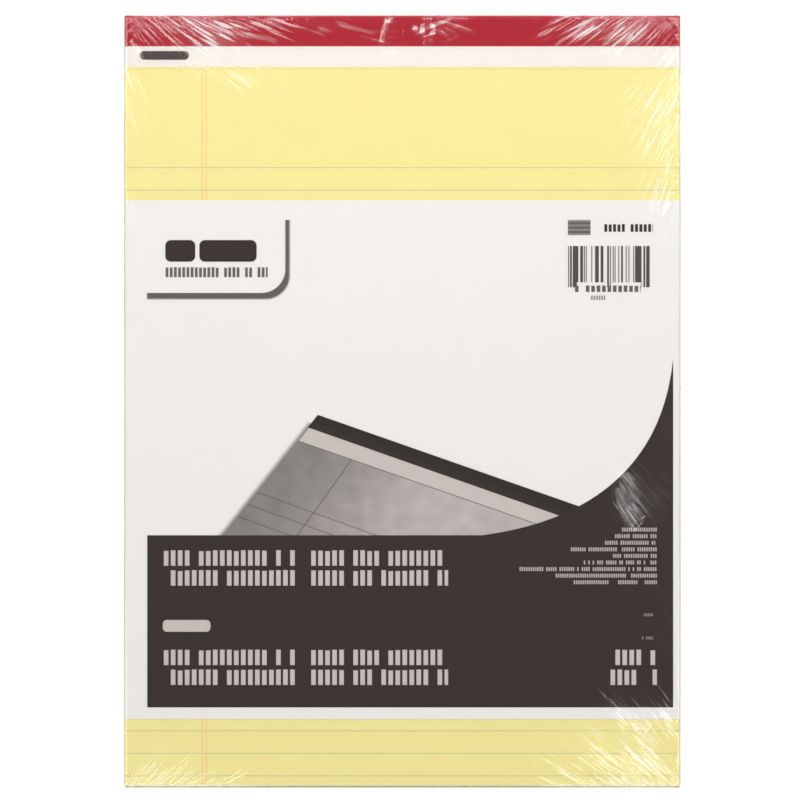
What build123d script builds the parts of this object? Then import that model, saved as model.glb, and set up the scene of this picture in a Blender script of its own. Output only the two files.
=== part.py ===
from build123d import *
import os

# A clear shrink-wrapped pack of ruled writing pads, lying face up on its back.
# +Z is up, +X runs across the sheets and +Y points to the bound head.
# The origin is on the surface that the pack lies on, under the middle of the sheets.
# All sizes are in millimetres.

os.makedirs("parts", exist_ok=True)

# The pads in the pack, from the lowest up
pad_names = ["bottom", "middle", "top"]

# Ruled sheets, trimmed and bound as one block
sheet_width = 215.9
sheet_length = 298.45
sheet_count = 50
sheet_thickness = 0.081

# Chipboard backing, trimmed with the sheets
board_thickness = 0.8

# Paper binding tape, folded in a U round the head of each pad
tape_thickness = 0.13
tape_front_flap = 19.9
tape_back_flap = 19.0
tape_fold_radius = 0.35

# Round wire staples, driven from the front and clinched on the back, under the tape
staple_sides = {"left": -1, "centre": 0, "right": 1}
staple_spacing = 76.2
staple_from_head = 9.0
staple_crown = 12.7
staple_clinch = 5.0
wire_diameter = 0.45
wire_inner_bend = 0.1
wire_clearance = 0.03

# Printed label sheet, lying loose on the top pad under the film
label_thickness = 0.2
label_from_head = 71.65
label_from_foot = 25.8
label_from_left = 0.1
label_from_right = 0.1

# Clear film, shrunk round the stack and sealed along its head, foot and right side
film_thickness = 0.06
film_clearance = 0.05
film_corner_radius = 0.1
seam_reach = 0.35
seam_height = 0.4

# Derived sizes and levels
block_thickness = sheet_count * sheet_thickness
pad_thickness = board_thickness + block_thickness
stack_bottom = film_thickness + film_clearance
stack_top = stack_bottom + len(pad_names) * pad_thickness
head_y = sheet_length / 2
foot_y = -head_y
wire_radius = wire_diameter / 2
groove_depth = wire_diameter + 2 * wire_clearance
groove_length = staple_crown + groove_depth
staple_y = head_y - staple_from_head
staple_centres = [(side * staple_spacing, staple_y) for side in staple_sides.values()]
leg_centres = [
    (x + end * staple_crown / 2, y) for x, y in staple_centres for end in (-1, 1)
]
label_width = sheet_width - label_from_left - label_from_right
label_length = sheet_length - label_from_head - label_from_foot
label_left_x = -sheet_width / 2 + label_from_left

for level, pad in enumerate(pad_names):
    pad_bottom = stack_bottom + level * pad_thickness
    board_top = pad_bottom + board_thickness
    pad_top = pad_bottom + pad_thickness
    # The tape is pressed into the stub, so both of its flaps end flush with the pad.
    back_seat = pad_bottom + tape_thickness
    front_seat = pad_top - tape_thickness

    with BuildPart() as board:
        with BuildSketch(Plane.XY.offset(pad_bottom)):
            Rectangle(sheet_width, sheet_length)
        extrude(amount=board_thickness)
        with BuildSketch(Plane.XY.offset(pad_bottom)):
            with Locations((0, head_y)):
                Rectangle(sheet_width, tape_back_flap, align=(Align.CENTER, Align.MAX))
        extrude(amount=tape_thickness, mode=Mode.SUBTRACT)
        head_edges = board.faces().sort_by(Axis.Y)[-1].edges().filter_by(Axis.X)
        fillet(head_edges.sort_by(Axis.Z)[0], radius=tape_fold_radius)
        with BuildSketch(Plane.XY.offset(back_seat)):
            with Locations(*staple_centres):
                Rectangle(groove_length, groove_depth)
        extrude(amount=groove_depth, mode=Mode.SUBTRACT)
        with BuildSketch(Plane.XY.offset(back_seat)):
            with Locations(*leg_centres):
                Circle(groove_depth / 2)
        extrude(amount=board_thickness, mode=Mode.SUBTRACT)
    board.part.label = f"{pad}_pad_backing_board"
    export_step(board.part, f"parts/{pad}_pad_backing_board.step")

    with BuildPart() as block:
        with BuildSketch(Plane.XY.offset(board_top)):
            Rectangle(sheet_width, sheet_length)
        extrude(amount=block_thickness)
        with BuildSketch(Plane.XY.offset(pad_top)):
            with Locations((0, head_y)):
                Rectangle(sheet_width, tape_front_flap, align=(Align.CENTER, Align.MAX))
        extrude(amount=-tape_thickness, mode=Mode.SUBTRACT)
        head_edges = block.faces().sort_by(Axis.Y)[-1].edges().filter_by(Axis.X)
        fillet(head_edges.sort_by(Axis.Z)[-1], radius=tape_fold_radius)
        with BuildSketch(Plane.XY.offset(front_seat)):
            with Locations(*staple_centres):
                Rectangle(groove_length, groove_depth)
        extrude(amount=-groove_depth, mode=Mode.SUBTRACT)
        with BuildSketch(Plane.XY.offset(front_seat)):
            with Locations(*leg_centres):
                Circle(groove_depth / 2)
        extrude(amount=-block_thickness, mode=Mode.SUBTRACT)
    block.part.label = f"{pad}_pad_page_block"
    export_step(block.part, f"parts/{pad}_pad_page_block.step")

    with BuildPart() as tape:
        with BuildSketch(Plane.YZ):
            with BuildLine():
                FilletPolyline(
                    (head_y - tape_back_flap, back_seat),
                    (head_y, back_seat),
                    (head_y, front_seat),
                    (head_y - tape_front_flap, front_seat),
                    radius=tape_fold_radius,
                )
                offset(amount=tape_thickness, side=Side.RIGHT)
            make_face()
        extrude(amount=sheet_width / 2, both=True)
    tape.part.label = f"{pad}_pad_binding_tape"
    export_step(tape.part, f"parts/{pad}_pad_binding_tape.step")

    crown_z = front_seat - wire_clearance - wire_radius
    clinch_z = back_seat + wire_clearance + wire_radius
    for side_name, side in staple_sides.items():
        left_leg = side * staple_spacing - staple_crown / 2
        right_leg = side * staple_spacing + staple_crown / 2
        with BuildPart() as staple:
            with BuildLine() as wire:
                FilletPolyline(
                    (left_leg + staple_clinch, staple_y, clinch_z),
                    (left_leg, staple_y, clinch_z),
                    (left_leg, staple_y, crown_z),
                    (right_leg, staple_y, crown_z),
                    (right_leg, staple_y, clinch_z),
                    (right_leg - staple_clinch, staple_y, clinch_z),
                    radius=wire_inner_bend + wire_radius,
                )
            with BuildSketch(Plane(origin=wire.line @ 0, z_dir=wire.line % 0)):
                Circle(wire_radius)
            sweep()
        staple.part.label = f"{pad}_pad_staple_{side_name}"
        export_step(staple.part, f"parts/{pad}_pad_staple_{side_name}.step")

with BuildPart() as label_sheet:
    with BuildSketch(Plane.XY.offset(stack_top)):
        with Locations((label_left_x, foot_y + label_from_foot)):
            Rectangle(label_width, label_length, align=(Align.MIN, Align.MIN))
    extrude(amount=label_thickness)
label_sheet.part.label = "label_sheet"
export_step(label_sheet.part, "parts/label_sheet.step")

# The film's hollow clears the sheets, the label and the tape folded over the head.
hollow_width = sheet_width + 2 * film_clearance
hollow_length = sheet_length + tape_thickness + 2 * film_clearance
hollow_height = stack_top + label_thickness + film_clearance - film_thickness
film_width = hollow_width + 2 * film_thickness
film_length = hollow_length + 2 * film_thickness
film_height = hollow_height + 2 * film_thickness
film_middle_y = tape_thickness / 2

with BuildPart() as hollow:
    with BuildSketch(Plane.XY.offset(film_thickness)):
        with Locations((0, film_middle_y)):
            Rectangle(hollow_width, hollow_length)
    extrude(amount=hollow_height)
    fillet(hollow.edges(), radius=film_corner_radius)

with BuildPart() as film:
    with BuildSketch(Plane.XY):
        with Locations((0, film_middle_y)):
            Rectangle(film_width, film_length)
    extrude(amount=film_height)
    fillet(film.edges(), radius=film_corner_radius + film_thickness)
    # The trimmed seam stands out along the middle of the head, the foot and the right side.
    with BuildSketch(Plane.XY.offset((film_height - seam_height) / 2)):
        with Locations((-film_width / 2 + film_thickness, film_middle_y)):
            Rectangle(
                film_width - film_thickness + seam_reach,
                film_length + 2 * seam_reach,
                align=(Align.MIN, Align.CENTER),
            )
    extrude(amount=seam_height)
    add(hollow.part, mode=Mode.SUBTRACT)
film.part.label = "shrink_film"
export_step(film.part, "parts/shrink_film.step")
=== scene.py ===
"""Looks of a shrink-wrapped pack of ruled writing pads, built round its CAD frame."""

import functools
import logging
import math
import operator
from collections.abc import Callable
from dataclasses import dataclass, field
from enum import Enum

import bmesh
import bpy
import numpy as np
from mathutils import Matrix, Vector


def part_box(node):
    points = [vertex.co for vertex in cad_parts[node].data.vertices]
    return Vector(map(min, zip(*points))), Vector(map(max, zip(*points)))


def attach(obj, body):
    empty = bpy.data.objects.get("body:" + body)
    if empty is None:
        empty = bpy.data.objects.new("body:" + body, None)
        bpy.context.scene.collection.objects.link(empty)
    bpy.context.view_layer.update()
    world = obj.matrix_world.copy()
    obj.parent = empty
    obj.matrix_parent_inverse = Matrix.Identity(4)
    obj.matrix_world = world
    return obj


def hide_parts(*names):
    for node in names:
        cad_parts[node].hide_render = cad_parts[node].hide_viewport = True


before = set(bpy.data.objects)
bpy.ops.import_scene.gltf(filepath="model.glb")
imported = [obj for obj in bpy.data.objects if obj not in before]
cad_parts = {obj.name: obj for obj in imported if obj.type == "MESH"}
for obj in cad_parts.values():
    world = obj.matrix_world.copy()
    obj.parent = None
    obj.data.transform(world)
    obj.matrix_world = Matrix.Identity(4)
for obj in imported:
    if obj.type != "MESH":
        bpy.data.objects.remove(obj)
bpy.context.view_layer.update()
log = logging.getLogger("pad_pack")

MM = 0.001
PAD_NAMES = ("bottom", "middle", "top")
BODY = "root"
PAPER_SHINE = 0.06
PRINT_EDGE = 0.1
RIM_STEPS = (0.15, 0.45, 0.9, 1.3)
FLAP_DEPTH = 0.4
FLOAT, VECTOR = "NodeSocketFloat", "NodeSocketVector"


# ---------------------------------------------------------------- node helpers


class Graph:
    """Adds nodes to one shader tree and links them."""

    def __init__(self, tree: bpy.types.NodeTree) -> None:
        """Keeps the tree.

        Args:
            tree: The node tree that the nodes go into.
        """
        self.tree = tree

    def node(self, kind: str, values: dict | None = None, **settings) -> bpy.types.Node:
        """Adds one node.

        Args:
            kind: The node's Blender type, without its leading ShaderNode.
            values: Inputs by name or index; each is a socket to link or a constant.
            settings: Properties of the node itself.

        Returns:
            The new node.
        """
        made = self.tree.nodes.new(kind if kind.startswith("NodeGroup") else "ShaderNode" + kind)
        for name, setting in settings.items():
            setattr(made, name, setting)
        for name, value in (values or {}).items():
            self.feed(made.inputs[name], value)
        return made

    def feed(self, socket: bpy.types.NodeSocket, value: object) -> None:
        """Links a value to an input, or sets the input's constant.

        Args:
            socket: The input.
            value: A value or output socket, a number, a colour, an ink or a vector.
        """
        value = value.value if isinstance(value, Enum) else value
        value = value.socket if isinstance(value, Value) else value
        if isinstance(value, bpy.types.NodeSocket):
            self.tree.links.new(value, socket)
        elif isinstance(value, tuple) and len(value) < len(socket.default_value):
            socket.default_value = (*value, 1.0)
        else:
            socket.default_value = value

    def value(self, socket: bpy.types.NodeSocket) -> "Value":
        """Wraps an output socket as a number."""
        return Value(self, socket)

    def math(
        self, operation: str, first: "Number", second: "Number" = 0.0, clamp: bool = False
    ) -> "Value":
        """Does one sum on two numbers.

        Args:
            operation: The Math node's operation.
            first: The first number or value.
            second: The second number or value.
            clamp: Whether the result is kept between 0 and 1.

        Returns:
            The result.
        """
        made = self.node("Math", {0: first, 1: second}, operation=operation, use_clamp=clamp)
        return self.value(made.outputs[0])

    def attribute(self, name: str, output: str = "Fac") -> "Value":
        """Reads an attribute of the mesh."""
        return self.value(self.node("Attribute", attribute_name=name).outputs[output])

    def upward(self) -> "Value":
        """Gives how far a surface faces up, from -1 to 1."""
        facing = self.node("NewGeometry").outputs["Normal"]
        return self.value(self.node("SeparateXYZ", {0: facing}).outputs[2])

    def shaded(self, colour: "Colour", share: float, mask: "Value") -> bpy.types.NodeSocket:
        """Paints a colour that darkens to a share of itself where the mask is 1."""
        colour = colour.value if isinstance(colour, Enum) else colour
        return self.paint(colour, tuple(part * share for part in colour), mask)

    def product(self, *masks: "Number") -> "Value":
        """Multiplies any number of masks together."""
        return functools.reduce(operator.mul, masks)

    def within(self, value: "Value", low: "Number", high: "Number") -> "Value":
        """Gives 1 where a value lies between two limits."""
        return (value > low) * (value < high)

    def ramp(self, value: "Value", low: "Number", high: "Number") -> "Value":
        """Gives a smooth rise from 0 at low to 1 at high."""
        values = {"Value": value, "From Min": low, "From Max": high}
        made = self.node("MapRange", values, interpolation_type="SMOOTHSTEP")
        return self.value(made.outputs["Result"])

    def scaled(self, value: "Value", low: float, high: float) -> "Value":
        """Stretches a value from 0..1 to low..high, without limits."""
        made = self.node("MapRange", {"Value": value, "To Min": low, "To Max": high}, clamp=False)
        return self.value(made.outputs["Result"])

    def paint(
        self, under: object, over: object, mask: "Number", blend: str = "MIX"
    ) -> bpy.types.NodeSocket:
        """Lays one colour over another.

        Args:
            under: The colour below.
            over: The colour laid on it.
            mask: How much of it is laid, from 0 to 1.
            blend: The Mix node's blend type.

        Returns:
            The mixed colour's socket.
        """
        made = self.node("Mix", data_type="RGBA", blend_type=blend)
        for number, value in ((0, mask), (6, under), (7, over)):
            self.feed(made.inputs[number], value)
        return made.outputs[2]

    def millimetres(self) -> tuple:
        """Gives the object's own coordinates in millimetres.

        Returns:
            X, Y, Z and the socket of the whole vector.
        """
        place = self.node("TexCoord").outputs["Object"]
        scaled = self.node("VectorMath", {0: place, "Scale": 1 / MM}, operation="SCALE").outputs[0]
        return (*map(self.value, self.node("SeparateXYZ", {0: scaled}).outputs), scaled)

    def noise(
        self, vector: object, scale: "Number", detail: float = 2.0,
        stretch: tuple[float, float, float] = (1.0, 1.0, 1.0),
    ) -> "Value":
        """Gives a noise value from 0 to 1.

        Args:
            vector: The coordinates.
            scale: Patches for each unit of length.
            detail: How many finer octaves are added.
            stretch: Factors on the three coordinates.

        Returns:
            The noise value's socket.
        """
        if stretch != (1.0, 1.0, 1.0):
            vector = self.node("Mapping", {"Vector": vector, "Scale": stretch}).outputs[0]
        made = self.node("TexNoise", {"Vector": vector, "Scale": scale, "Detail": detail})
        return self.value(made.outputs["Fac"])

    def group(self, name: str, values: dict) -> dict[str, "Value"]:
        """Places a node group.

        Args:
            name: Which group, as GROUPS names it.
            values: Its inputs by name.

        Returns:
            The group's results by name.
        """
        made = self.node("Group", node_tree=GROUPS[name])
        for socket, value in values.items():
            self.feed(made.inputs[socket], value)
        return {output.name: self.value(output) for output in made.outputs}


@dataclass(frozen=True, eq=False)
class Value:
    """A number in a shader tree: sums written with it add Math nodes."""

    graph: Graph
    socket: bpy.types.NodeSocket

    def __add__(self, other: "Number") -> "Value":
        """Adds."""
        return self.graph.math("ADD", self, other)

    def __radd__(self, other: "Number") -> "Value":
        """Adds to a constant."""
        return self.graph.math("ADD", other, self)

    def __sub__(self, other: "Number") -> "Value":
        """Subtracts."""
        return self.graph.math("SUBTRACT", self, other)

    def __rsub__(self, other: "Number") -> "Value":
        """Subtracts from a constant."""
        return self.graph.math("SUBTRACT", other, self)

    def __mul__(self, other: "Number") -> "Value":
        """Multiplies."""
        return self.graph.math("MULTIPLY", self, other)

    def __truediv__(self, other: "Number") -> "Value":
        """Divides."""
        return self.graph.math("DIVIDE", self, other)

    def __rtruediv__(self, other: "Number") -> "Value":
        """Divides a constant."""
        return self.graph.math("DIVIDE", other, self)

    def __pow__(self, other: "Number") -> "Value":
        """Raises to a power."""
        return self.graph.math("POWER", self, other)

    def __gt__(self, other: "Number") -> "Value":
        """Gives 1 where it is more, and 0 elsewhere."""
        return self.graph.math("GREATER_THAN", self, other)

    def __lt__(self, other: "Number") -> "Value":
        """Gives 1 where it is less, and 0 elsewhere."""
        return self.graph.math("LESS_THAN", self, other)

    def __abs__(self) -> "Value":
        """Drops the sign."""
        return self.graph.math("ABSOLUTE", self)

    def floor(self) -> "Value":
        """Rounds down."""
        return self.graph.math("FLOOR", self)

    def fraction(self) -> "Value":
        """Gives what is past the whole number below."""
        return self.graph.math("FRACT", self)

    def most(self, other: "Number") -> "Value":
        """Gives the greater of two."""
        return self.graph.math("MAXIMUM", self, other)

    def least(self, other: "Number") -> "Value":
        """Gives the lesser of two."""
        return self.graph.math("MINIMUM", self, other)


Number = Value | float
Colour = tuple[float, float, float] | Enum


def new_group(name: str, inputs: dict[str, str], outputs: tuple[str, ...]) -> tuple:
    """Starts a shader node group.

    Args:
        name: The group's name.
        inputs: Socket types by input name.
        outputs: The names of its results, which are numbers.

    Returns:
        The group's tree, its graph, its inputs as values by name and its output node.
    """
    tree = bpy.data.node_groups.new(name, "ShaderNodeTree")
    for socket, kind in inputs.items():
        tree.interface.new_socket(socket, in_out="INPUT", socket_type=kind)
    for socket in outputs:
        tree.interface.new_socket(socket, in_out="OUTPUT", socket_type=FLOAT)
    graph = Graph(tree)
    given = {one.name: graph.value(one) for one in graph.node("NodeGroupInput").outputs if one.name}
    return tree, graph, given, graph.node("NodeGroupOutput")


def fibre_group() -> bpy.types.NodeTree:
    """Makes the group of paper fibres, used by every paper and board finish.

    Returns:
        A group that turns a vector in millimetres into a mottling and a fine relief.
    """
    tree, graph, given, result = new_group(
        "paper_fibres", {"Vector": VECTOR, "Fibre length": FLOAT}, ("Mottling", "Relief")
    )
    size = 1.0 / given["Fibre length"]
    cloudy = graph.noise(given["Vector"], 0.09, 3.0)
    lengthways = {"Vector": given["Vector"], "Scale": (1.0, 0.22, 1.0)}
    across = {"Vector": given["Vector"], "Rotation": (0.0, 0.0, 0.9), "Scale": (0.25, 1.0, 1.0)}
    ways = [graph.node("Mapping", values).outputs[0] for values in (lengthways, across)]
    first, second = (graph.noise(way, size, 2.0) for way in ways)
    relief = first.most(second)
    graph.feed(result.inputs["Mottling"], cloudy * 0.6 + relief * 0.4)
    graph.feed(result.inputs["Relief"], relief)
    return tree


def print_group() -> bpy.types.NodeTree:
    """Makes the group of one printed rectangle with rounded corners.

    Returns:
        A group that gives 1 inside the rectangle, fading over its soft edge.
    """
    names = ("X", "Y", "Left", "Top", "Width", "Height", "Radius", "Softness")
    inputs = dict.fromkeys(names, FLOAT)
    tree, graph, given, result = new_group("printed_rectangle", inputs, ("Mask",))
    reach = []
    for axis, start, size in (("X", "Left", "Width"), ("Y", "Top", "Height")):
        half = given[size] * 0.5
        middle = given[start] + half
        reach.append(abs(given[axis] - middle) - (half - given["Radius"]))
    across, down = (side.most(0.0) for side in reach)
    corner = graph.math("SQRT", across ** 2.0 + down ** 2.0)
    inside = reach[0].most(reach[1]).least(0.0)
    far = given["Softness"] * 0.5
    distance = corner + inside - given["Radius"]
    graph.feed(result.inputs["Mask"], graph.ramp(distance, far, far * -1.0))
    return tree


def blocks_group() -> bpy.types.NodeTree:
    """Makes the group of a row of small printed blocks, which stands in for a line of type.

    Returns:
        A group that gives 1 on the blocks. Random gaps part them into words.
    """
    names = ("X", "Y", "Left", "Top", "Width", "Height", "Pitch", "Seed")
    tree, graph, given, result = new_group("block_row", dict.fromkeys(names, FLOAT), ("Mask",))
    along = given["X"] - given["Left"]
    down = given["Y"] - given["Top"]
    steps = along / given["Pitch"]
    cell = graph.node("CombineXYZ", {0: steps.floor(), 1: given["Seed"]}).outputs[0]
    noise = graph.node("TexWhiteNoise", {"Vector": cell}, noise_dimensions="2D")
    chance = graph.value(noise.outputs["Value"])
    body = graph.within(steps.fraction(), 0.08, 0.74)
    word = chance > 0.14
    rise = (given["Height"] - down) / given["Height"]
    high = graph.within(rise, 0.0, graph.scaled(chance, 0.92, 1.03))
    length = graph.within(along, 0.0, given["Width"])
    graph.feed(result.inputs["Mask"], graph.product(body, word, high, length, down > 0.0))
    return tree


GROUPS = {"fibres": fibre_group(), "rectangle": print_group(), "blocks": blocks_group()}


def new_material(name: str) -> tuple[bpy.types.Material, Graph, bpy.types.Node]:
    """Starts a material with a bare Principled shader.

    Args:
        name: The material's name.

    Returns:
        The material, its graph and its Principled node.
    """
    material = bpy.data.materials.new(name)
    material.use_nodes = True
    graph = Graph(material.node_tree)
    shader = next(n for n in material.node_tree.nodes if n.type == "BSDF_PRINCIPLED")
    return material, graph, shader


def add_bump(
    graph: Graph, shader: bpy.types.Node, height: Value, strength: float, distance: float
) -> None:
    """Feeds a relief into a shader's normal.

    Args:
        graph: The material's graph.
        shader: Its Principled node.
        height: The relief, from 0 to 1.
        strength: How much of the relief is used.
        distance: The relief's depth in millimetres.
    """
    values = {"Height": height, "Strength": strength, "Distance": distance * MM}
    graph.feed(shader.inputs["Normal"], graph.node("Bump", values).outputs[0])


def set_paper(shader: bpy.types.Node, roughness: float) -> None:
    """Gives a shader the dull surface of paper."""
    shader.inputs["Roughness"].default_value = roughness
    shader.inputs["Specular IOR Level"].default_value = PAPER_SHINE


# ---------------------------------------------------------------- print


class Ink(Enum):
    """The label's printing inks."""

    PANEL = (0.050, 0.036, 0.031)
    BLACK = (0.036, 0.030, 0.027)
    GREY = (0.155, 0.138, 0.125)
    MID_GREY = (0.30, 0.275, 0.26)
    PALE_GREY = (0.60, 0.55, 0.525)
    PAPER = (0.803, 0.783, 0.766)


@dataclass(frozen=True)
class Row:
    """One or more rows of printed blocks, in millimetres from the label's left and top edges.

    With several widths, the rows end in line on the right, at left plus the first width.
    """

    left: float
    top: float
    width: float
    height: float
    pitch: float
    ink: Ink
    seed: float = 0.0
    strength: float = 1.0
    lines: int = 1
    line_pitch: float = 10.0
    widths: tuple[float, ...] = ()


@dataclass(frozen=True)
class Field:
    """A printed rectangle, in millimetres from the label's left and top edges."""

    left: float
    top: float
    width: float
    height: float
    ink: Ink | None
    radius: float = 0.0
    softness: float = PRINT_EDGE
    strength: float = 1.0


@dataclass(frozen=True)
class PrintedFace:
    """A face to print on, with X and Y counted from its left and top edges."""

    graph: Graph
    x: Value
    y: Value

    def rectangle(self, item: Field) -> Value:
        """Gives the mask of one printed rectangle."""
        sizes = {"Width": item.width, "Height": item.height, "Radius": item.radius}
        values = {"X": self.x, "Y": self.y, "Left": item.left, "Top": item.top, **sizes}
        return self.graph.group("rectangle", {**values, "Softness": item.softness})["Mask"]

    def row(self, item: Row) -> Value:
        """Gives the mask of rows of blocks, all drawn by one group."""
        y, seed, start = self.y, item.seed, item.left
        if item.lines > 1:
            count = ((y - item.top) / item.line_pitch).floor()
            count = count.most(0.0).least(item.lines - 1.0)
            y = y - count * item.line_pitch
            seed = count + item.seed
        if item.widths:
            steps = self.graph.node("ValToRGB", {0: (count + 0.5) / item.lines})
            steps.color_ramp.interpolation = "CONSTANT"
            stops = steps.color_ramp.elements
            for number, width in enumerate(item.widths):
                stop = stops[number] if number < 2 else stops.new(number / item.lines)
                stop.position = number / item.lines
                stop.color = (*((item.width - width) / item.width,) * 3, 1.0)
            start = self.graph.value(steps.outputs[0]) * item.width + item.left
        sizes = {"Width": item.width, "Height": item.height, "Pitch": item.pitch, "Seed": seed}
        values = {"X": self.x, "Y": y, "Left": start, "Top": item.top, **sizes}
        mask = self.graph.group("blocks", values)["Mask"]
        return mask * (self.x < item.left + item.width) if item.widths else mask

    def beyond(self, start: tuple[float, float], end: tuple[float, float]) -> Value:
        """Gives how far a point lies past a line, to the right of its direction.

        Args:
            start: A point on the line.
            end: A later point on the line.

        Returns:
            The signed distance, in millimetres.
        """
        run, fall = end[0] - start[0], end[1] - start[1]
        length = math.hypot(run, fall)
        return (self.y - start[1]) * (run / length) - (self.x - start[0]) * (fall / length)


# -------------------------------------------------------------------- finishes


@dataclass(frozen=True)
class Ruling:
    """The lines printed on every sheet, in millimetres from its head and left edge."""

    first_rule: float = 59.1
    rule_pitch: float = 8.731
    rule_count: int = 28
    rule_width: float = 0.34
    margin_lines: tuple[float, float] = (30.4, 32.0)
    margin_width: float = 0.55
    perforation: float = 0.35
    slit_pitch: float = 1.1
    slit_share: float = 0.62
    slit_offset: float = 0.8


@dataclass(frozen=True)
class CanaryPaper:
    """Ruled yellow writing paper, cut and stacked."""

    colour: tuple[float, float, float] = (0.835, 0.765, 0.375)
    # The cut edges are painted darker than the top, and darker still in fine bands: painted shade
    # between the stacked sheets.
    edge_colour: tuple[float, float, float] = (0.80, 0.735, 0.355)
    rule_ink: tuple[float, float, float] = (0.50, 0.50, 0.33)
    margin_ink: tuple[float, float, float] = (0.80, 0.52, 0.27)
    # The perforation's slits are painted dark: painted shade inside the cuts.
    slit_shade_colour: tuple[float, float, float] = (0.52, 0.45, 0.24)
    rule_wear: tuple[float, float] = (0.5, 0.8)
    margin_wear: tuple[float, float] = (0.3, 0.5)
    slit_shade_share: float = 0.55
    sheet_gap_shade: float = 0.72
    roughness: float = 0.62
    ruling: Ruling = field(default_factory=Ruling)

    def material(self, left: float, head: float, tape_flap: float) -> bpy.types.Material:
        """Makes the finish.

        Args:
            left: X of the sheets' left edge, in millimetres.
            head: Y of their head, in millimetres.
            tape_flap: How far the tape reaches down from the head, in millimetres.

        Returns:
            The material.
        """
        material, graph, shader = new_material("canary_paper")
        x, y, _, place = graph.millimetres()
        face = graph.ramp(graph.upward(), 0.6, 0.9)
        fibres = graph.group("fibres", {"Vector": place, "Fibre length": 0.5})
        sheet = graph.shaded(self.colour, 0.965, fibres["Mottling"])
        down = head - y
        ink_wear = graph.ramp(graph.noise(place, 1.6, 2.0), 0.25, 0.5)
        rules, margins = self._lines(graph, x - left, down)
        for lines, ink, (low, high) in (
            (rules, self.rule_ink, self.rule_wear), (margins, self.margin_ink, self.margin_wear)
        ):
            worn = graph.scaled(ink_wear, low, high)
            sheet = graph.paint(sheet, ink, graph.product(lines, face, worn))

        ruling = self.ruling
        slit_line = tape_flap + ruling.slit_offset
        slit_row = graph.within(
            down, slit_line - ruling.perforation / 2, slit_line + ruling.perforation / 2
        )
        slit = (x / ruling.slit_pitch).fraction() < ruling.slit_share
        slits = graph.product(slit_row, slit, face)
        # Painted shade: the perforation's slits are darkened where they cut the sheet's face.
        sheet = graph.paint(sheet, self.slit_shade_colour, slits * self.slit_shade_share)

        # Painted shade between the sheets: fine bands that darken the cut edges.
        fine = graph.noise(place, 1.0, 4.0, stretch=(0.02, 0.02, 9.0))
        broad = graph.noise(place, 1.0, 3.0, stretch=(0.03, 0.03, 2.2))
        shade = graph.ramp(fine * 0.65 + broad * 0.35, 0.34, 0.62)
        shaded_edge = tuple(part * self.sheet_gap_shade for part in self.edge_colour)
        edge = graph.paint(shaded_edge, self.edge_colour, shade)
        graph.feed(shader.inputs["Base Color"], graph.paint(edge, sheet, face))
        set_paper(shader, self.roughness)
        add_bump(graph, shader, fibres["Relief"] * 0.5 - slits, 0.35, 0.02)
        return material

    def _lines(self, graph: Graph, across: Value, down: Value) -> tuple[Value, Value]:
        """Gives the masks of the rules and of the margin lines.

        Args:
            graph: The material's graph.
            across: Distance from the sheet's left edge.
            down: Distance from its head.

        Returns:
            The two masks.
        """
        ruling = self.ruling
        count = (down - ruling.first_rule) / ruling.rule_pitch
        nearest = abs((count + 0.5).fraction() - 0.5)
        half_rule = 0.5 * ruling.rule_width / ruling.rule_pitch
        rules = (nearest < half_rule) * graph.within(count, -0.5, ruling.rule_count - 0.5)
        half_line = ruling.margin_width / 2
        first, second = (
            graph.within(across, line - half_line, line + half_line) for line in ruling.margin_lines
        )
        return rules, first.most(second)


@dataclass(frozen=True)
class Chipboard:
    """Grey-brown recycled board with darker and lighter flecks."""

    colour: tuple[float, float, float] = (0.33, 0.27, 0.205)
    fleck: tuple[float, float, float] = (0.50, 0.44, 0.36)
    dark_fleck: tuple[float, float, float] = (0.13, 0.10, 0.075)
    roughness: float = 0.85

    def material(self) -> bpy.types.Material:
        """Makes the finish."""
        material, graph, shader = new_material("chipboard")
        place = graph.millimetres()[3]
        fibres = graph.group("fibres", {"Vector": place, "Fibre length": 1.1})
        dark_board = tuple(part * 0.82 for part in self.colour)
        colour = graph.paint(dark_board, self.colour, fibres["Mottling"])
        light = graph.ramp(graph.noise(place, 1.3, 3.0, stretch=(1.0, 0.4, 1.0)), 0.60, 0.70)
        dark = graph.ramp(graph.noise(place, 2.1, 3.0, stretch=(0.5, 1.0, 1.0)), 0.66, 0.74)
        colour = graph.paint(colour, self.fleck, light * 0.6)
        colour = graph.paint(colour, self.dark_fleck, dark * 0.7)
        graph.feed(shader.inputs["Base Color"], colour)
        shader.inputs["Roughness"].default_value = self.roughness
        add_bump(graph, shader, fibres["Relief"], 0.5, 0.05)
        return material


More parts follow.
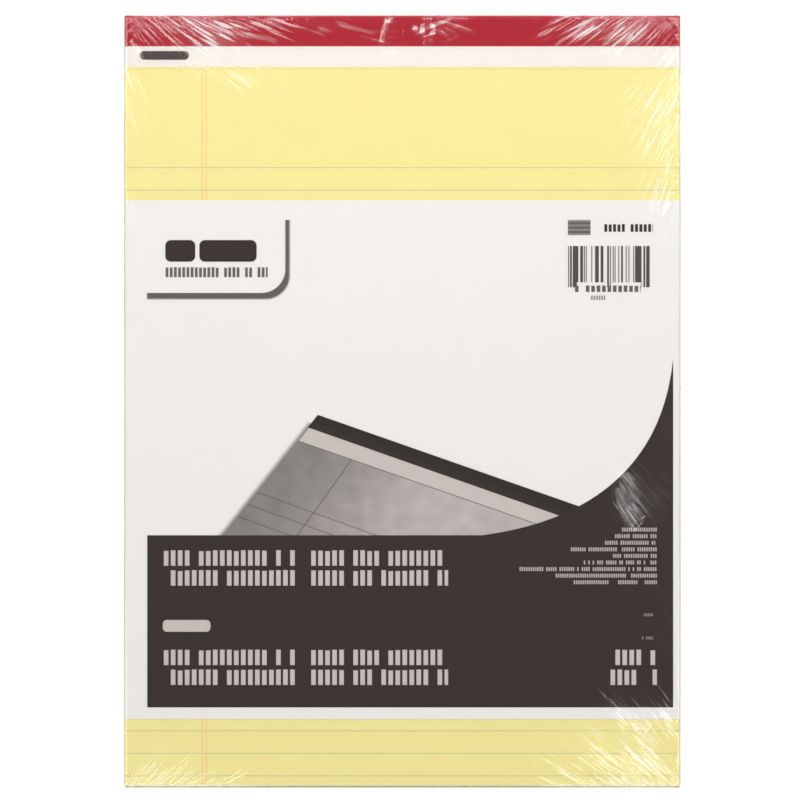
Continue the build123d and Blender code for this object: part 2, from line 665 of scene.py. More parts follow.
@dataclass(frozen=True)
class BindingPaper:
    """Red printed binding paper with an unprinted white band along its front flap."""

    red: tuple[float, float, float] = (0.476, 0.026, 0.045)
    white: tuple[float, float, float] = (0.825, 0.79, 0.745)
    mark: tuple[float, float, float] = (0.09, 0.075, 0.07)
    roughness: float = 0.5
    red_depth: float = 12.0
    mark_place: tuple[float, float] = (6.2, 13.9)
    mark_size: tuple[float, float] = (19.0, 3.4)

    def material(
        self, left: float, head: float, front_levels: tuple[float, ...]
    ) -> bpy.types.Material:
        """Makes the finish.

        Args:
            left: X of the tape's left end, in millimetres.
            head: Y of the fold, in millimetres.
            front_levels: The lowest Z of each pad's front flap, in millimetres.

        Returns:
            The material.
        """
        material, graph, shader = new_material("binding_paper")
        x, y, z, place = graph.millimetres()
        fibres = graph.group("fibres", {"Vector": place, "Fibre length": 0.7})
        red = graph.shaded(self.red, 0.86, fibres["Mottling"])
        white = graph.shaded(self.white, 0.96, fibres["Mottling"])
        down = head - y
        ragged = graph.noise(place, 1.2, 2.0) * 0.12
        band = graph.math("GREATER_THAN", down, self.red_depth + ragged)
        flaps = [graph.within(z, level, level + 1.0) for level in front_levels]
        front = functools.reduce(Value.most, flaps)
        mark = Field(*self.mark_place, *self.mark_size, None, self.mark_size[1] / 2)
        white = graph.paint(white, self.mark, PrintedFace(graph, x - left, down).rectangle(mark))
        graph.feed(shader.inputs["Base Color"], graph.paint(red, white, band * front))
        set_paper(shader, self.roughness)
        weave = graph.noise(place, 3.0, 2.0, stretch=(0.4, 1.6, 1.0))
        add_bump(graph, shader, weave * 0.5 + fibres["Relief"] * 0.5, 0.3, 0.03)
        return material


@dataclass(frozen=True)
class DrawnWire:
    """Bright drawn steel wire with fine lengthways scratches."""

    colour: tuple[float, float, float] = (0.62, 0.62, 0.63)
    roughness: float = 0.32

    def material(self) -> bpy.types.Material:
        """Makes the finish."""
        material, graph, shader = new_material("staple_wire")
        place = graph.millimetres()[3]
        scratches = graph.noise(place, 14.0, 3.0, stretch=(0.1, 1.0, 0.1))
        graph.feed(shader.inputs["Base Color"], graph.shaded(self.colour, 0.7, scratches))
        shader.inputs["Metallic"].default_value = 1.0
        rough = graph.scaled(scratches, self.roughness - 0.08, self.roughness + 0.12)
        graph.feed(shader.inputs["Roughness"], rough)
        add_bump(graph, shader, scratches, 0.2, 0.01)
        return material


# ---------------------------------------------------------- the printed label


@dataclass(frozen=True)
class LabelLayout:
    """Where everything is printed on the label, in millimetres from its left and top edges."""

    panel: Field = Field(9.0, 129.8, 203.8, 66.7, Ink.PANEL)
    sweep_centre: tuple[float, float] = (101.65, 40.3)
    sweep_radii: tuple[float, float] = (111.96, 91.3)
    sweep_power: float = 2.67
    card_start: tuple[float, float] = (8.9, 7.6)
    card_end: tuple[float, float] = (62.5, 35.9)
    card_radius: float = 9.3
    card_shadow: tuple[float, float] = (1.7, 2.4)
    heading: tuple[Field, ...] = (
        Field(16.0, 15.4, 11.6, 8.4, Ink.PANEL, 2.2),
        Field(29.2, 15.4, 22.2, 8.4, Ink.PANEL, 2.2),
    )
    tagline: Row = Row(16.0, 25.9, 39.7, 3.9, 1.62, Ink.GREY, 3.0)
    origin_block: Field = Field(172.0, 7.6, 8.8, 5.9, Ink.MID_GREY)
    stripe_pitch: float = 1.7
    origin_row: Row = Row(182.6, 9.2, 22.4, 3.0, 1.7, Ink.PANEL, 5.0)
    code_left: float = 172.1
    code_top: float = 17.7
    code_width: float = 31.6
    code_height: float = 14.1
    guard_height: float = 16.0
    guard_width: float = 3.4
    code_module: float = 0.36
    digits: Row = Row(174.6, 33.0, 25.6, 2.5, 2.1, Ink.GREY, 9.0)
    small_code: Row = Row(180.9, 36.9, 5.6, 1.7, 1.0, Ink.MID_GREY, 2.0)
    big_rows: Row = Row(15.2, 135.6, 110.4, 6.0, 2.72, Ink.PALE_GREY, 20.0, 1.0, 2, 7.7)
    big_rows_repeat: float = 38.5
    maker_bar: Field = Field(15.0, 162.6, 18.5, 4.6, Ink.PALE_GREY, 1.6)
    right_words: Row = Row(
        188.3, 174.1, 18.2, 6.0, 2.72, Ink.PALE_GREY, 31.0, 1.0, 2, 7.7, (16.3, 18.2)
    )
    small_rows: Row = Row(
        153.2, 126.8, 53.3, 1.55, 0.86, Ink.PALE_GREY, 40.0, 0.85, 9, 2.55,
        (13.6, 16.3, 20.2, 33.4, 17.1, 28.4, 53.3, 39.3, 32.3),
    )
    tiny_mark: Row = Row(200.6, 160.0, 4.4, 1.2, 0.8, Ink.MID_GREY, 60.0, 1.0, 2, 9.0)

    @property
    def rows(self) -> tuple[Row, ...]:
        """Every row, in the order of printing."""
        names = "tagline origin_row digits small_code big_rows right_words small_rows tiny_mark"
        return tuple(getattr(self, name) for name in names.split())


@dataclass(frozen=True)
class PadPicture:
    """The outline of the pad pictured on the label, in millimetres from its left and top edges."""

    head_left: tuple[float, float] = (75.1, 83.1)
    head_right: tuple[float, float] = (176.5, 118.6)
    band_left: tuple[float, float] = (71.2, 88.0)
    band_right: tuple[float, float] = (168.7, 122.2)
    page_left: tuple[float, float] = (67.7, 93.2)
    page_right: tuple[float, float] = (159.5, 125.2)
    foot_left: tuple[float, float] = (38.8, 129.7)
    margin_top: tuple[float, float] = (87.9, 100.9)
    margin_foot: tuple[float, float] = (67.7, 129.0)
    first_rule: tuple[float, float] = (51.9, 113.2)
    rule_step: tuple[float, float] = (-3.6, 4.75)
    rule_slope: tuple[float, float] = (42.4, 15.4)
    rule_count: int = 3
    line_width: float = 0.5
    line_colour: tuple[float, float, float] = (0.12, 0.11, 0.105)
    page_dark: tuple[float, float, float] = (0.283, 0.262, 0.245)
    page_light: tuple[float, float, float] = (0.52, 0.48, 0.463)


@dataclass(frozen=True)
class LabelPrint:
    """White coated paper with a dark panel, greeked type, a bar pattern and a pictured pad."""

    layout: LabelLayout = field(default_factory=LabelLayout)
    picture: PadPicture = field(default_factory=PadPicture)
    roughness: float = 0.55

    def _sweep(self, face: PrintedFace) -> Value:
        """Gives the mask of the panel's horn, which sweeps up its right side."""
        layout = self.layout
        terms = []
        for value, centre, radius in zip((face.x, face.y), layout.sweep_centre, layout.sweep_radii):
            terms.append(abs((value - centre) / radius) ** layout.sweep_power)
        outside = terms[0] + terms[1] > 1.0
        right = layout.panel.left + layout.panel.width
        across = face.graph.within(face.x, layout.sweep_centre[0], right)
        down = face.graph.within(face.y, layout.sweep_centre[1], layout.panel.top + 0.1)
        return face.graph.product(outside, across, down)

    def _draw_picture(self, face: PrintedFace, paper: bpy.types.NodeSocket) -> bpy.types.NodeSocket:
        """Paints the pictured pad.

        Args:
            face: The printed face.
            paper: The colour under the picture.

        Returns:
            The painted colour's socket.
        """
        shape, graph = self.picture, face.graph
        below_head = face.beyond(shape.head_left, shape.head_right)
        below_band = face.beyond(shape.band_left, shape.band_right)
        below_page = face.beyond(shape.page_left, shape.page_right)
        tape_end = face.beyond(shape.band_left, shape.head_left)
        side = face.beyond(shape.foot_left, shape.page_left)
        above_foot = face.y < shape.foot_left[1] + 0.3
        left_limit = face.y > shape.head_left[1]

        edge = graph.ramp(side, -2.6, 0.4)
        shadow = graph.product(edge, below_band > -2.0, above_foot, left_limit)
        paper = graph.paint(paper, Ink.GREY, shadow * 0.9)
        inside = side > 0.0
        near = face.x < shape.head_right[0] + 12.0
        tape = graph.product(below_head > 0.0, below_band < 0.0, tape_end > 0.0, near)
        band = graph.product(below_band > 0.0, below_page < 0.0, inside, near)
        page = graph.product(below_page > 0.0, inside, above_foot)
        page_colour = graph.paint(shape.page_dark, shape.page_light, graph.ramp(side, 0.0, 62.0))
        clouds = graph.node("CombineXYZ", {0: face.x, 1: face.y}).outputs[0]
        mottled = graph.scaled(graph.noise(clouds, 0.14, 3.0), 0.78, 1.22)
        page_colour = graph.paint(page_colour, mottled, 1.0, "MULTIPLY")
        paper = graph.paint(paper, page_colour, page)

        lines = [(shape.page_left, shape.page_right, 1.0), (shape.margin_foot, shape.margin_top, 0.6)]
        for number in range(shape.rule_count):
            start = tuple(a + number * b for a, b in zip(shape.first_rule, shape.rule_step))
            lines.append((start, tuple(a + b for a, b in zip(start, shape.rule_slope)), 0.55))
        for start, end, strength in lines:
            thin = abs(face.beyond(start, end)) < shape.line_width / 2
            line = graph.product(thin, inside, above_foot)
            if start is not shape.page_left:
                line = line * page
            paper = graph.paint(paper, shape.line_colour, line * strength)
        paper = graph.paint(paper, Ink.PALE_GREY, band)
        dark = graph.paint(Ink.BLACK, Ink.PANEL, graph.ramp(below_band, -5.0, 0.0))
        return graph.paint(paper, dark, tape)

    def _draw_code(self, face: PrintedFace, paper: bpy.types.NodeSocket) -> bpy.types.NodeSocket:
        """Paints the pattern of random bars.

        Args:
            face: The printed face.
            paper: The colour under the bars.

        Returns:
            The painted colour's socket.
        """
        layout, graph = self.layout, face.graph
        along = face.x - layout.code_left
        down = face.y - layout.code_top
        cell = (along / layout.code_module).floor()
        noise = graph.node("TexWhiteNoise", {"W": cell}, noise_dimensions="1D")
        bars = graph.value(noise.outputs["Value"]) > 0.46
        half = layout.code_width / 2
        from_middle = abs(along - half)
        ends = graph.within(from_middle, half - layout.guard_width, half)
        guard = graph.within(from_middle, -1.0, 0.8) + ends
        long = graph.within(down, 0.0, layout.guard_height) * guard
        height = graph.within(down, 0.0, layout.code_height).most(long)
        mask = graph.product(bars, height, from_middle < half)
        return graph.paint(paper, Ink.BLACK, mask * 0.92)

    def _draw_card(self, face: PrintedFace, paper: bpy.types.NodeSocket) -> bpy.types.NodeSocket:
        """Paints the heading's card, whose shadow shows at its foot and right side.

        Args:
            face: The printed face.
            paper: The colour under the card.

        Returns:
            The painted colour's socket.
        """
        layout = self.layout
        (left, top), (right, bottom), over = layout.card_start, layout.card_end, 20.0
        place, size = (left - over, top - over), (right - left + over, bottom - top + over)
        card = Field(*place, *size, Ink.PAPER, layout.card_radius, 0.12)
        place = tuple(a + b for a, b in zip(place, layout.card_shadow))
        shadow = Field(*place, *size, Ink.GREY, layout.card_radius, 1.1)
        clip = (face.x > left) * (face.y > top)
        hidden = 1.0 - face.rectangle(card)
        mask = face.graph.product(face.rectangle(shadow), hidden, clip)
        return face.graph.paint(paper, Ink.GREY, mask)

    def material(self, left: float, top: float) -> bpy.types.Material:
        """Makes the finish.

        Args:
            left: X of the label's left edge, in millimetres.
            top: Y of its top edge, in millimetres.

        Returns:
            The material.
        """
        material, graph, shader = new_material("printed_label")
        x, y, _, place = graph.millimetres()
        face = PrintedFace(graph, x - left, top - y)
        layout = self.layout
        fibres = graph.group("fibres", {"Vector": place, "Fibre length": 0.4})
        bare = graph.shaded(Ink.PAPER, 0.975, fibres["Mottling"])
        colour = self._draw_picture(face, self._draw_card(face, bare))
        panel = face.rectangle(layout.panel).most(self._sweep(face))
        dark = graph.shaded(Ink.PANEL, 0.9, fibres["Mottling"])
        colour = graph.paint(colour, dark, panel)

        for item in layout.heading:
            colour = graph.paint(colour, item.ink, face.rectangle(item))
        stripes = ((face.y - layout.origin_block.top) / layout.stripe_pitch).fraction() > 0.5
        striped = graph.paint(Ink.MID_GREY, Ink.GREY, stripes)
        colour = graph.paint(colour, striped, face.rectangle(layout.origin_block))
        colour = self._draw_code(face, colour)

        # The upper rows of large type repeat the lower ones, so both are drawn at once.
        lower = face.y > layout.big_rows.top + layout.big_rows_repeat - 2.0
        folded = PrintedFace(graph, face.x, face.y - lower * layout.big_rows_repeat)
        for row in layout.rows:
            mask = (folded if row is layout.big_rows else face).row(row)
            colour = graph.paint(colour, row.ink, mask * row.strength)
        colour = graph.paint(colour, layout.maker_bar.ink, face.rectangle(layout.maker_bar))
        graph.feed(shader.inputs["Base Color"], graph.paint(bare, colour, graph.upward() > 0.5))
        set_paper(shader, self.roughness)
        add_bump(graph, shader, fibres["Relief"], 0.15, 0.012)
        return material


# -------------------------------------------------------------- mesh helpers


def deselect_all() -> None:
    """Leaves object mode with nothing selected."""
    bpy.ops.object.select_all(action="DESELECT")


def take(piece: bpy.types.Object) -> None:
    """Selects one piece alone and makes it active."""
    deselect_all()
    piece.select_set(True)
    bpy.context.view_layer.objects.active = piece


def settle(piece: bpy.types.Object) -> None:
    """Puts a piece's place, turn and scale into its mesh."""
    take(piece)
    bpy.ops.object.transform_apply(location=True, rotation=True, scale=True)


def block_between(name: str, low: Vector, high: Vector) -> bpy.types.Object:
    """Adds a block from one corner to the other.

    Args:
        name: The piece's name.
        low: Its lowest corner, in metres.
        high: Its highest corner, in metres.

    Returns:
        The piece, at the origin.
    """
    deselect_all()
    bpy.ops.mesh.primitive_cube_add(size=1.0, location=(low + high) / 2, scale=high - low)
    piece = bpy.context.object
    piece.name = name
    settle(piece)
    return piece


def cut_across(piece: bpy.types.Object, axis: int, places: list[float]) -> None:
    """Cuts a piece's faces by planes square to one axis.

    Args:
        piece: The piece.
        axis: 0, 1 or 2 for X, Y or Z.
        places: Where each plane stands, in metres.
    """
    take(piece)
    bpy.ops.object.mode_set(mode="EDIT")
    normal = [0.0, 0.0, 0.0]
    normal[axis] = 1.0
    for place in places:
        point = [0.0, 0.0, 0.0]
        point[axis] = place
        bpy.ops.mesh.select_all(action="SELECT")
        bpy.ops.mesh.bisect(plane_co=point, plane_no=normal)
    bpy.ops.object.mode_set(mode="OBJECT")


def select_parts(piece: bpy.types.Object, kind: str, wanted: Callable[..., bool]) -> None:
    """Selects the faces or the edges that pass a test.

    Args:
        piece: The piece, in edit mode.
        kind: FACE or EDGE.
        wanted: A function from a face or an edge to true or false.
    """
    bpy.ops.mesh.select_mode(type=kind)
    bpy.ops.mesh.select_all(action="DESELECT")
    mesh = bmesh.from_edit_mesh(piece.data)
    for one in mesh.faces if kind == "FACE" else mesh.edges:
        if wanted(one):
            one.select_set(True)
    mesh.select_flush_mode()
    bmesh.update_edit_mesh(piece.data)


def places_of(piece: bpy.types.Object) -> np.ndarray:
    """Reads a piece's vertices as rows of X, Y, Z in millimetres."""
    flat = np.empty(len(piece.data.vertices) * 3)
    piece.data.vertices.foreach_get("co", flat)
    return flat.reshape(-1, 3) / MM


def move_to(piece: bpy.types.Object, places: np.ndarray) -> None:
    """Moves a piece's vertices to rows of X, Y, Z in millimetres."""
    piece.data.vertices.foreach_set("co", (places * MM).ravel())
    piece.data.update()


def evenly(low: float, high: float, step: float) -> list[float]:
    """Divides a length into equal steps.

    Args:
        low: Where it starts.
        high: Where it ends.
        step: About how long each step is.

    Returns:
        The places between the ends.
    """
    count = max(1, round((high - low) / step))
    return [low + (high - low) * i / count for i in range(1, count)]


def dress(piece: bpy.types.Object, material: bpy.types.Material) -> None:
    """Gives a piece one material alone."""
    piece.data.materials.clear()
    piece.data.materials.append(material)


def smooth(piece: bpy.types.Object, degrees: float) -> None:
    """Shades a piece smooth, with its edges sharper than an angle kept sharp."""
    take(piece)
    bpy.ops.object.shade_smooth_by_angle(angle=math.radians(degrees))


def tie(piece: bpy.types.Object, node: str) -> bpy.types.Object:
    """Ties a finished piece to the frame.

    Args:
        piece: The piece.
        node: The CAD node that it stands for.

    Returns:
        The piece.
    """
    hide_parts(node)
    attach(piece, BODY)
    log.info("%s: %d faces", piece.name, len(piece.data.polygons))
    return piece


# --------------------------------------------------------------------- pieces


def rounded_corner(
    places: np.ndarray, axis: int, centre: tuple[float, float], radius: float, side: float
) -> None:
    """Presses one long square corner of a piece into a quarter round.

    Args:
        places: The vertices in millimetres, which are changed.
        axis: The level axis that the corner faces, 0 or 1.
        centre: The round's centre along that axis and up.
        radius: Its radius in millimetres.
        side: 1 or -1 for the side that the corner faces.
    """
    out = side * (places[:, axis] - centre[0]) / radius
    up = (places[:, 2] - centre[1]) / radius
    inside = (out > 0.0) & (up > 0.0)
    most = np.maximum(out, up)
    factor = np.where(inside, most / np.maximum(np.hypot(out, up), 1e-9), 1.0)
    places[:, axis] = np.where(inside, centre[0] + side * out * factor * radius, places[:, axis])
    places[:, 2] = np.where(inside, centre[1] + up * factor * radius, places[:, 2])


@dataclass
class WritingPad:
    """One pad: its page block, board, tape and staples."""

    name: str
    materials: dict[str, bpy.types.Material]
    sheet_count: int = 50
    sheet_jitter: float = 0.05
    groove: float = 0.018
    tape_thickness: float = 0.13
    press_run: float = 0.6
    front_fold: float = 1.9
    back_fold: float = 0.5
    back_flap_share: float = 0.95
    side_round: float = 1.3
    staple_spacing: float = 76.2
    staple_from_head: float = 9.0
    staple_length: float = 12.7
    staple_rise: float = 0.05

    def page_block(self) -> bpy.types.Object:
        """Models the trimmed sheets, each edge a little in or out of line.

        Returns:
            The page block.
        """
        node = f"{self.name}_pad_page_block"
        low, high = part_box(node)
        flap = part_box(f"{self.name}_pad_binding_tape")[0].y
        piece = block_between(f"{self.name}_page_block", low, high)
        layer = (high.z - low.z) / self.sheet_count
        cut_across(piece, 2, [low.z + layer * half / 2 for half in range(1, 2 * self.sheet_count)])
        cut_across(piece, 1, evenly(low.y, high.y, 30 * MM) + [flap - self.press_run * MM, flap])
        cut_across(piece, 1, [high.y - step * MM for step in (0.15, 0.45, 0.9, 1.4, 1.9)])
        cut_across(piece, 0, evenly(low.x, high.x, 36 * MM))
        for side in (low.x, high.x):
            inward = math.copysign(MM, -side)
            cut_across(piece, 0, [side + inward * step for step in RIM_STEPS])

        places = places_of(piece)
        rng = np.random.default_rng(11 + PAD_NAMES.index(self.name))
        bottom, top = low.z / MM, high.z / MM
        level = np.rint((places[:, 2] - bottom) / (layer / MM / 2)).astype(int)
        between = (level % 2 == 0) & (level > 0) & (level < 2 * self.sheet_count)
        index = np.clip(level // 2, 0, self.sheet_count - 1)
        foot_and_sides = ((0, low.x, -1.0), (0, high.x, 1.0), (1, low.y, -1.0))
        for axis, limit, sign in foot_and_sides:
            drift = np.cumsum(rng.normal(0.0, self.sheet_jitter / 4, self.sheet_count))
            drift = drift - drift.max() + rng.normal(0.0, self.sheet_jitter / 3, self.sheet_count)
            offset = np.clip(drift, -0.14, 0.0)[index] - self.groove * between
            wave = 0.02 * np.sin(places[:, 1 - axis] / 23.0 + 0.7 * index) - 0.02
            on_side = np.abs(places[:, axis] - limit / MM) < 1e-3
            places[:, axis] += np.where(on_side, sign * (offset + wave), 0.0)
        # The tape presses the stub thinner, so the sheets dip under its flap.
        share = np.clip((places[:, 1] - (flap / MM - self.press_run)) / self.press_run, 0.0, 1.0)
        places[:, 2] -= share * self.tape_thickness * (places[:, 2] - bottom) / (top - bottom)
        seat = top - self.tape_thickness
        fold = self.front_fold - self.tape_thickness
        rounded_corner(places, 1, (high.y / MM - fold, seat - fold), fold, 1.0)
        if self.name == "top":
            self._round_sides(places, low, high, top)
        move_to(piece, places)
        dress(piece, self.materials["paper"])
        return tie(piece, node)

    def _round_sides(self, places: np.ndarray, low: Vector, high: Vector, top: float) -> None:
        """Presses the top pad's side edges round, as the tight film does."""
        radius = self.side_round
        for side, limit in ((-1.0, low.x / MM), (1.0, high.x / MM)):
            rounded_corner(places, 0, (limit - side * radius, top - radius), radius, side)

    def binding_tape(self) -> bpy.types.Object:
        """Models the tape: a strip spun round the head's corners, with the staples showing.

        Returns:
            The tape.
        """
        node = f"{self.name}_pad_binding_tape"
        low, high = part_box(node)
        front, back = self.front_fold * MM, self.back_fold * MM
        flap = high.y - low.y - front
        deselect_all()
        bpy.ops.mesh.primitive_plane_add(size=1.0, location=(0.0, low.y + flap / 2, high.z))
        piece = bpy.context.object
        piece.name = f"{self.name}_binding_tape"
        piece.scale = (high.x - low.x, flap, 1.0)
        settle(piece)
        bpy.ops.object.mode_set(mode="EDIT")
        head_line = low.y + flap - 1e-6
        select_parts(piece, "EDGE", lambda edge: all(vert.co.y > head_line for vert in edge.verts))
        turn = {"angle": math.pi / 2, "axis": (1.0, 0.0, 0.0)}
        bpy.ops.mesh.spin(steps=8, center=(0.0, high.y - front, high.z - front), **turn)
        down = (0.0, 0.0, low.z - high.z + front + back)
        bpy.ops.mesh.extrude_region_move(TRANSFORM_OT_translate={"value": down})
        bpy.ops.mesh.spin(steps=5, center=(0.0, high.y - back, low.z + back), **turn)
        inward = (0.0, -self.back_flap_share * flap, 0.0)
        bpy.ops.mesh.extrude_region_move(TRANSFORM_OT_translate={"value": inward})
        bpy.ops.mesh.select_all(action="SELECT")
        bpy.ops.mesh.remove_doubles(threshold=1e-7)
        bpy.ops.mesh.normals_make_consistent(inside=False)
        bpy.ops.object.mode_set(mode="OBJECT")
        staple_line = high.y - (self.staple_from_head + self.tape_thickness) * MM
        cut_across(piece, 1, evenly(low.y, high.y - front, 3 * MM))
        steps = (-0.8, -0.5, -0.25, 0.0, 0.25, 0.5, 0.8)
        cut_across(piece, 1, [staple_line + step * MM for step in steps])
        ends = [
            (side * self.staple_spacing + end * (self.staple_length / 2 + step)) * MM
            for side in (-1, 0, 1) for end in (-1, 1) for step in (-0.4, 0.3)
        ]
        rims = [
            limit - math.copysign(step * MM, limit) for limit in (low.x, high.x) for step in RIM_STEPS
        ]
        cut_across(piece, 0, evenly(low.x, high.x, 9 * MM) + ends + rims)
        self._raise_staples(piece, high.z / MM, staple_line / MM)
        solid = piece.modifiers.new("thickness", "SOLIDIFY")
        solid.thickness = self.tape_thickness * MM
        solid.offset = -1.0 if self._faces_out(piece, high.z) else 1.0
        take(piece)
        bpy.ops.object.modifier_apply(modifier=solid.name)
        if self.name == "top":
            places = places_of(piece)
            self._round_sides(places, low, high, high.z / MM)
            move_to(piece, places)
        smooth(piece, 35.0)
        dress(piece, self.materials["tape"])
        return tie(piece, node)

    def _faces_out(self, piece: bpy.types.Object, top: float) -> bool:
        """Tells whether the strip's front flap faces up."""
        flat = next(one for one in piece.data.polygons if abs(one.center.z - top) < 1e-5)
        return flat.normal.z > 0.0

    def _raise_staples(self, piece: bpy.types.Object, top: float, line: float) -> None:
        """Lifts the tape a little where the staples lie under it.

        Args:
            piece: The strip.
            top: Z of the front flap in millimetres.
            line: Y of the staples in millimetres.
        """
        places = places_of(piece)
        bump = np.exp(-(((places[:, 1] - line) / 0.35) ** 2))
        along = np.zeros(len(places))
        for side in (-1, 0, 1):
            away = np.abs(places[:, 0] - side * self.staple_spacing)
            along = np.maximum(along, np.clip((self.staple_length / 2 + 0.3 - away) / 0.7, 0.0, 1.0))
        flat = np.abs(places[:, 2] - top) < 1e-3
        places[:, 2] += np.where(flat, self.staple_rise * bump * along, 0.0)
        move_to(piece, places)

    def dress_kept_nodes(self) -> None:
        """Gives the board and the staples, kept from the CAD, their finishes."""
        dress(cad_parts[f"{self.name}_pad_backing_board"], self.materials["board"])
        for side in ("left", "centre", "right"):
            dress(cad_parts[f"{self.name}_pad_staple_{side}"], self.materials["wire"])

    def build(self) -> list[bpy.types.Object]:
        """Builds and dresses the whole pad."""
        self.dress_kept_nodes()
        return [self.page_block(), self.binding_tape()]


@dataclass
class LabelSheet:
    """The printed sheet that lies on the top pad, its long sides pressed down by the film."""

    material: bpy.types.Material
    side_round: float = 1.3

    def build(self) -> bpy.types.Object:
        """Models the sheet."""
        low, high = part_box("label_sheet")
        page_low, page_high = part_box("top_pad_page_block")
        piece = block_between("printed_label", low, high)
        cut_across(piece, 1, evenly(low.y, high.y, 12 * MM))
        cut_across(piece, 0, evenly(low.x, high.x, 12 * MM))
        for side, edge in ((-1.0, page_low.x), (1.0, page_high.x)):
            steps = [edge - side * step * MM for step in (0.2, 0.4, 0.6, 0.8, 1.0, 1.2, 1.4, 1.6)]
            cut_across(piece, 0, [step for step in steps if low.x < step < high.x])
        places = places_of(piece)
        top = high.z / MM
        radius = self.side_round + (high.z - low.z) / MM
        for side, edge in ((-1.0, page_low.x / MM), (1.0, page_high.x / MM)):
            rounded_corner(places, 0, (edge - side * self.side_round, top - radius), radius, side)
        move_to(piece, places)
        smooth(piece, 40.0)
        dress(piece, self.material)
        return tie(piece, "label_sheet")


# ------------------------------------------------------------------- the film


class Corner(Enum):
    """A corner of the pack's face, as the way from the middle towards it."""

    HEAD_LEFT = (-1.0, 1.0)
    HEAD_RIGHT = (1.0, 1.0)
    FOOT_LEFT = (-1.0, -1.0)
    FOOT_RIGHT = (1.0, -1.0)


@dataclass(frozen=True)
class Creases:
    """A spray of creases, placed in millimetres inward from a corner's side and from its end.

    The first creases start at one point and the last at the other. Angles are in
    degrees, from the line straight inward towards the line along the pack.
    """

    corner: Corner
    start: tuple[float, float]
    end: tuple[float, float]
    angles: tuple[float, float]
    lengths: tuple[float, float]
    count: int
    height: float = 0.2
    width: float = 0.42
    scatter: float = 2.0
    turn: float = 5.0
    bend: float = 0.004
    haze: float = 0.03
    pull: float = 0.35


@dataclass(frozen=True)
class Haze:
    """A milky patch where the film has shrunk most, placed as the creases are."""

    corner: Corner
    centre: tuple[float, float]
    radii: tuple[float, float]
    strength: float
    tilt: float = 0.0


@dataclass(frozen=True)
class Stroke:
    """One drawn crease through three points, in millimetres from the head's middle."""

    points: tuple[tuple[float, float], tuple[float, float], tuple[float, float]]
    height: float = 0.35
    width: float = 0.5
    haze: float = 0.2


@dataclass(frozen=True)
class StreakFan:
    """A part of the film whose finest creases point away from one apex, placed as the creases are."""

    corner: Corner
    apex: tuple[float, float]
    radius: float
    middle: tuple[float, float] = (0.0, 0.0)
    reach: float = 1.0


HL, HR, FL, FR = Corner.HEAD_LEFT, Corner.HEAD_RIGHT, Corner.FOOT_LEFT, Corner.FOOT_RIGHT

CREASES = (
    Creases(HL, (4.0, 2.0), (14.0, 0.5), (50.0, 38.0), (8.0, 22.0), 8, haze=0.015, pull=0.25),
    Creases(
        HL, (4.0, 13.0), (4.0, 3.0), (57.0, 50.0), (6.0, 14.0), 5,
        scatter=1.0, haze=0.015, pull=0.25,
    ),
    Creases(HL, (10.0, 2.0), (36.0, 1.0), (36.0, 24.0), (10.0, 30.0), 22),
    Creases(HL, (30.0, 2.0), (74.0, 3.0), (22.0, 14.0), (8.0, 26.0), 16, height=0.16),
    Creases(
        HL, (24.0, 20.0), (52.0, 22.0), (36.0, 26.0), (12.0, 28.0), 14,
        height=0.06, width=0.6, scatter=4.0, haze=0.03, pull=0.22,
    ),
    Creases(
        HL, (28.0, 3.0), (44.0, 5.0), (30.0, 20.0), (2.0, 7.0), 14,
        height=0.16, width=0.4, scatter=3.0, turn=10.0, haze=0.1,
    ),
    Creases(HR, (3.0, 2.0), (14.0, 1.0), (54.0, 44.0), (8.0, 20.0), 9, haze=0.015, pull=0.25),
    Creases(
        HR, (2.5, 17.0), (3.0, 3.0), (60.0, 54.0), (6.0, 14.0), 6,
        scatter=1.0, haze=0.015, pull=0.25,
    ),
    Creases(HR, (10.0, 1.0), (46.0, 1.0), (44.0, 28.0), (8.0, 24.0), 22),
    Creases(
        HR, (14.0, 5.0), (26.0, 9.0), (50.0, 20.0), (1.5, 5.0), 12,
        height=0.2, width=0.4, scatter=3.0, turn=30.0, haze=0.12,
    ),
    Creases(HR, (1.5, 22.0), (3.0, 46.0), (62.0, 62.0), (12.0, 30.0), 15, height=0.18, width=0.6),
    Creases(HR, (2.0, 46.0), (3.0, 72.0), (66.0, 64.0), (8.0, 22.0), 11, height=0.16, width=0.6),
    Creases(
        HR, (20.0, 180.0), (20.0, 199.0), (-54.0, -50.0), (4.0, 10.0), 13,
        height=0.05, width=0.35, scatter=4.0, turn=8.0, haze=0.06, pull=0.3,
    ),
    Creases(
        HL, (0.8, 18.0), (1.0, 36.0), (64.0, 68.0), (10.0, 22.0), 7,
        height=0.12, width=0.9, haze=0.16, pull=0.15,
    ),
    Creases(
        HL, (2.0, 66.0), (3.0, 76.0), (72.0, 74.0), (8.0, 16.0), 4,
        height=0.1, width=0.9, haze=0.05, pull=0.12,
    ),
    Creases(FL, (2.0, 1.5), (14.0, 0.5), (50.0, 40.0), (8.0, 20.0), 8, height=0.09, haze=0.015),
    Creases(FL, (12.0, 0.5), (42.0, 1.0), (40.0, 26.0), (8.0, 24.0), 11, height=0.08, haze=0.015),
    Creases(FR, (2.0, 2.0), (20.0, 0.5), (48.0, 43.0), (10.0, 34.0), 20, height=0.14),
    Creases(FR, (16.0, 1.0), (46.0, 1.0), (43.0, 34.0), (8.0, 26.0), 13, height=0.12),
    Creases(FR, (1.5, 4.0), (2.0, 34.0), (46.0, 52.0), (8.0, 20.0), 9, height=0.14),
    Creases(
        FR, (11.0, 25.0), (21.0, 23.0), (46.0, 42.0), (10.0, 19.0), 7,
        height=0.1, width=0.35, scatter=1.2, haze=0.07,
    ),
    Creases(
        FR, (10.0, 8.0), (17.0, 13.0), (60.0, 30.0), (1.5, 5.0), 10,
        height=0.2, width=0.4, scatter=3.0, turn=30.0, haze=0.12,
    ),
)

